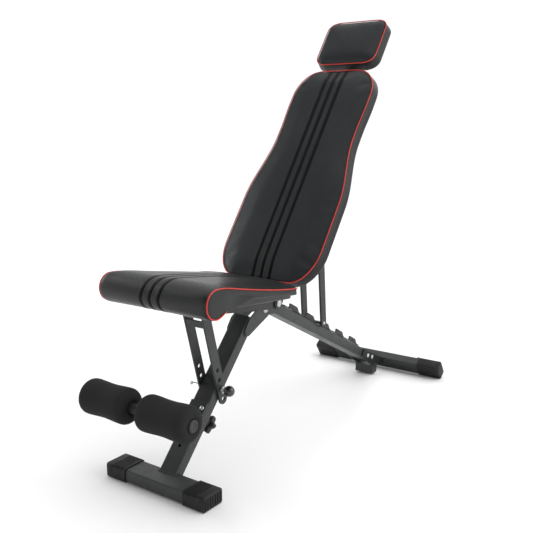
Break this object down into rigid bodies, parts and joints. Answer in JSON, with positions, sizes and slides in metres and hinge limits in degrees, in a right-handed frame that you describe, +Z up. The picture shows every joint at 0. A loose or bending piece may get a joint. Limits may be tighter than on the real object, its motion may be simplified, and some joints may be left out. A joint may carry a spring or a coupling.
{
  "type": "decline sit up bench",
  "caption": "Folding decline sit-up bench: tilting seat, reclining backrest on a toothed rack, sliding headrest, foam ankle rollers and a pinned front leg.",
  "frame": {"origin": "on the floor, midway between the front of the foam rollers and the back of the rear foot, on the centre plane", "axes": "+Z up; +Y from the foam rollers towards the rear foot; +X to the side that carries the pull pin's ball knob"},
  "size_m": [0.464, 1.2086, 1.1236],
  "materials": {
    "steel_grey": "satin dark grey powder coat",
    "steel_black": "satin black powder coat",
    "zinc": "bright zinc plating",
    "rubber_black": "matt ribbed rubber",
    "plastic_black": "fine-grained moulded plastic",
    "plastic_gloss": "polished",
    "foam_black": "closed-cell foam with a fine skin",
    "upholstery": "black vinyl over foam and board, red piping"
  },
  "bodies": {
    "rear_frame": {"rear_rail": "steel_grey", "rail_hinge_plate_L": "steel_grey", "rail_hinge_plate_R": "steel_grey", "rack_plate_L": "steel_black", "rack_plate_R": "steel_black", "rear_bracket_plate_L": "steel_black", "rear_bracket_plate_R": "steel_black", "bracket_bolt_1": "zinc", "bracket_bolt_2": "zinc", "rear_stop_block": "steel_grey", "rear_foot_tube": "steel_grey", "rear_foot_cap_L": "rubber_black", "rear_foot_cap_R": "rubber_black", "fold_pivot_bolt": "zinc", "seat_pivot_bolt": "zinc"},
    "front_leg": {"front_post": "steel_grey", "front_foot_tube": "steel_grey", "front_foot_cap_L": "rubber_black", "front_foot_cap_R": "rubber_black", "post_ear_L": "steel_grey", "post_ear_R": "steel_grey", "roller_carriage_plate": "steel_grey", "roller_support_arm": "steel_grey", "roller_cross_tube": "steel_grey", "roller_end_plug_L": "plastic_black", "roller_end_plug_R": "plastic_black", "clamp_stud": "zinc", "carriage_screw": "zinc"},
    "roller_right": {"foam_roller_R": "foam_black"},
    "roller_left": {"foam_roller_L": "foam_black"},
    "clamp_knob": {"star_knob": "plastic_black"},
    "locking_pin": {"pull_pin": "steel_black", "pin_ball_knob": "plastic_gloss"},
    "seat_arms": {"seat_arm_L": "steel_grey", "seat_arm_R": "steel_grey", "arm_cross_strap": "steel_grey", "arm_top_rod": "zinc"},
    "seat": {"seat_side_plate_L": "steel_black", "seat_side_plate_R": "steel_black", "seat_cross_bar_front": "steel_black", "seat_cross_bar_rear": "steel_black", "seat_pad": "upholstery"},
    "backrest": {"backrest_lug_L": "steel_black", "backrest_lug_R": "steel_black", "backrest_tube_L": "steel_black", "backrest_tube_R": "steel_black", "back_cross_plate_low": "steel_black", "back_cross_plate_mid": "steel_black", "back_cross_plate_high": "steel_black", "headrest_sleeve": "steel_black", "strut_pivot_rod": "zinc", "backrest_pad": "upholstery"},
    "strut": {"strut_leg_L": "steel_black", "strut_leg_R": "steel_black", "strut_rod": "zinc"},
    "headrest": {"headrest_post": "steel_grey", "headrest_mount_block": "steel_black", "headrest_plate": "steel_black", "headrest_pad": "upholstery"}
  },
  "joints": [
    {"name": "leg_fold", "type": "hinge", "parent": "rear_frame", "child": "front_leg", "pos_m": [0, -0.12889, 0.35448], "axis": [1, 0, 0], "range_deg": [0, 70]},
    {"name": "seat_tilt", "type": "hinge", "parent": "rear_frame", "child": "seat", "pos_m": [0, -0.08883, 0.36341], "axis": [1, 0, 0], "range_deg": [0, 62]},
    {"name": "arm_swing", "type": "hinge", "parent": "front_leg", "child": "seat_arms", "pos_m": [0, -0.3146, 0.19241], "axis": [1, 0, 0], "range_deg": [0, 3]},
    {"name": "backrest_recline", "type": "hinge", "parent": "rear_frame", "child": "backrest", "pos_m": [0, -0.08883, 0.36341], "axis": [1, 0, 0], "range_deg": [0, 30]},
    {"name": "strut_swing", "type": "hinge", "parent": "backrest", "child": "strut", "pos_m": [0, 0.11877, 0.67118], "axis": [1, 0, 0], "range_deg": [-12, 0]},
    {"name": "headrest_slide", "type": "slide", "parent": "backrest", "child": "headrest", "axis": [0, 0.5892, 0.808], "range_m": [-0.02, 0.06]},
    {"name": "roller_spin_right", "type": "hinge", "parent": "front_leg", "child": "roller_right", "pos_m": [0.0875, -0.56332, 0.215], "axis": [1, 0, 0], "continuous": true},
    {"name": "roller_spin_left", "type": "hinge", "parent": "front_leg", "child": "roller_left", "pos_m": [-0.0875, -0.56332, 0.215], "axis": [1, 0, 0], "continuous": true},
    {"name": "knob_turn", "type": "hinge", "parent": "front_leg", "child": "clamp_knob", "pos_m": [0, -0.36808, 0.13426], "axis": [0, 0.7361, -0.6769], "continuous": true},
    {"name": "pin_pull", "type": "slide", "parent": "front_leg", "child": "locking_pin", "axis": [1, 0, 0], "range_m": [0, 0.08]}
  ],
  "couplings": [
    {"joint": "seat_tilt", "follows": "leg_fold", "ratio": 0.8784},
    {"joint": "arm_swing", "follows": "leg_fold", "ratio": 0.03},
    {"joint": "strut_swing", "follows": "backrest_recline", "ratio": -0.4}
  ]
}
